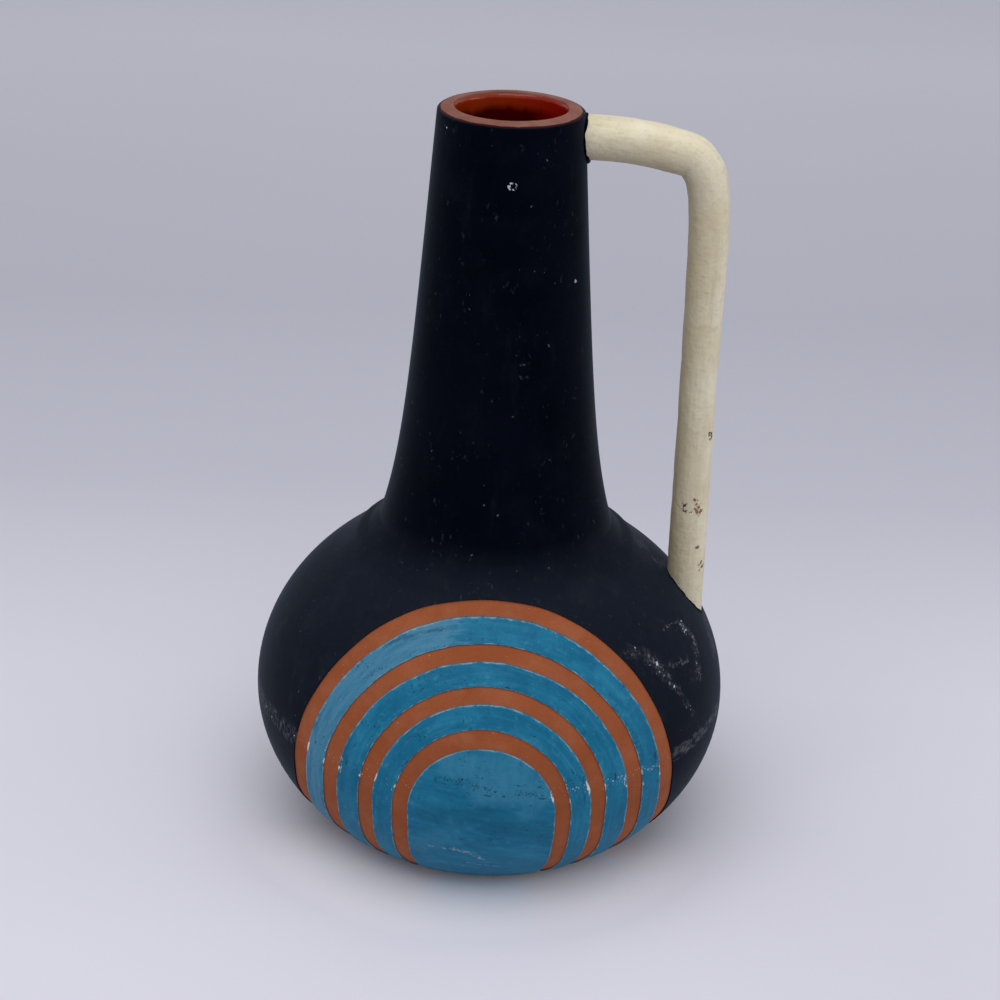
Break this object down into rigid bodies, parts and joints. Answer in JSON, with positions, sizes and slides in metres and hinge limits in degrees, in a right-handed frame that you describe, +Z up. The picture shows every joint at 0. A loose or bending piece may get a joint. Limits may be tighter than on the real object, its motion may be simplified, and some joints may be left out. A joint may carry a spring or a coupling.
{
  "type": "terracotta vase",
  "caption": "Squat globe-bodied clay vase with a long tapering neck and a bent rod handle, matt black outside with a panel of concentric arches, glazed inside to hold water and stems.",
  "frame": {"origin": "centre of the foot, on the surface that the vase stands on", "axes": "+Z up along the neck, +X towards the handle, -Y towards the arch panel"},
  "size_m": [0.1538, 0.1538, 0.2401],
  "materials": {
    "terracotta_clay": "bare fired clay, matt",
    "black_slip": "matt black slip",
    "blue_enamel": "brushed satin enamel",
    "cream_paint": "satin cream paint",
    "honey_glaze": "glossy brown glaze"
  },
  "bodies": {
    "root": {"globe": "terracotta_clay", "neck": "terracotta_clay", "neck_lute": "black_slip", "handle": "terracotta_clay", "handle_top_lute": "black_slip", "handle_foot_lute": "black_slip", "glaze_lining": "honey_glaze", "black_slip_coat": "black_slip", "blue_arch_outer": "blue_enamel", "blue_arch_middle": "blue_enamel", "blue_arch_inner": "blue_enamel", "blue_centre": "blue_enamel", "handle_cream_coat": "cream_paint"}
  },
  "joints": []
}
